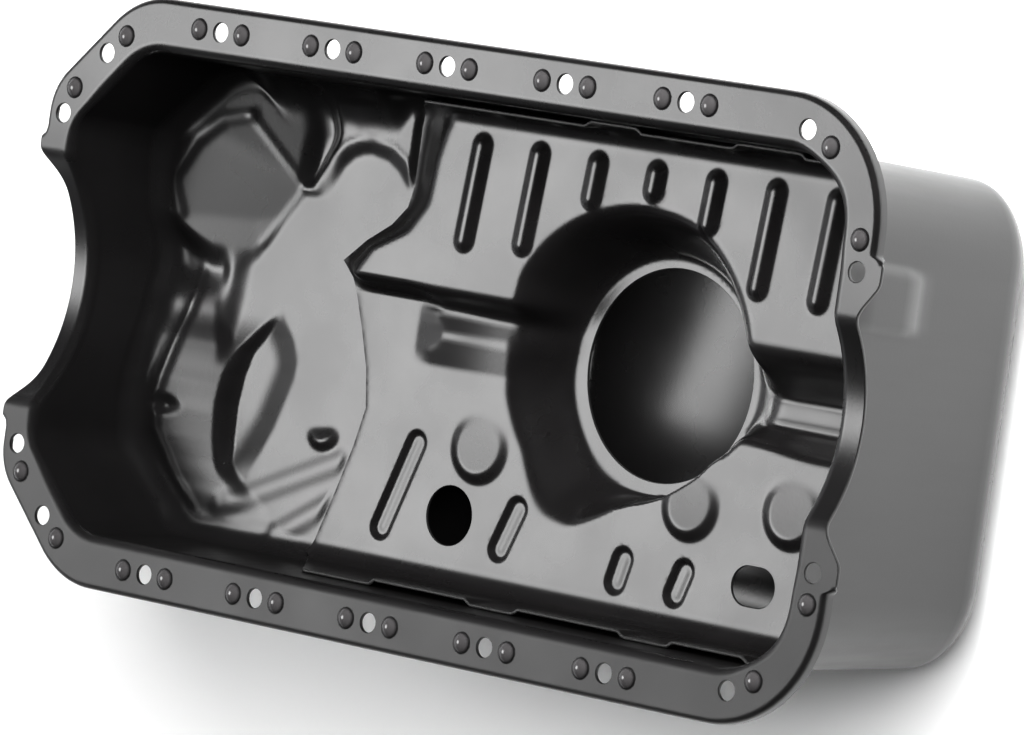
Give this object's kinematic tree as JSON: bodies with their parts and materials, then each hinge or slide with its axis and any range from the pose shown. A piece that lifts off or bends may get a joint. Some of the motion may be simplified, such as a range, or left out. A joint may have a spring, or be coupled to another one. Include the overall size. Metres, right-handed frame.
{
  "type": "engine oil pan",
  "caption": "Deep-drawn sheet steel oil pan with bolted flange, crank arches, shallow bay, deep sump, welded baffle plate with pick-up dish, and drain plug.",
  "frame": {"origin": "centre of the four outer bolts of the long rows, on the gasket face", "axes": "+Z out of the open top, +X towards the deep sump end, +Y towards the side wall that carries the drain"},
  "size_m": [0.3966, 0.2156, 0.1285],
  "materials": {
    "black_coat": "satin black dip coat",
    "baffle_coat": "satin black dip coat",
    "nut_steel": "bare weld nut",
    "plug_steel": "zinc plated",
    "washer_metal": "soft sealing ring"
  },
  "bodies": {
    "root": {"pan_body": "black_coat", "baffle_plate": "baffle_coat", "drain_nut": "nut_steel", "drain_plug": "plug_steel", "sealing_washer": "washer_metal"}
  },
  "joints": []
}
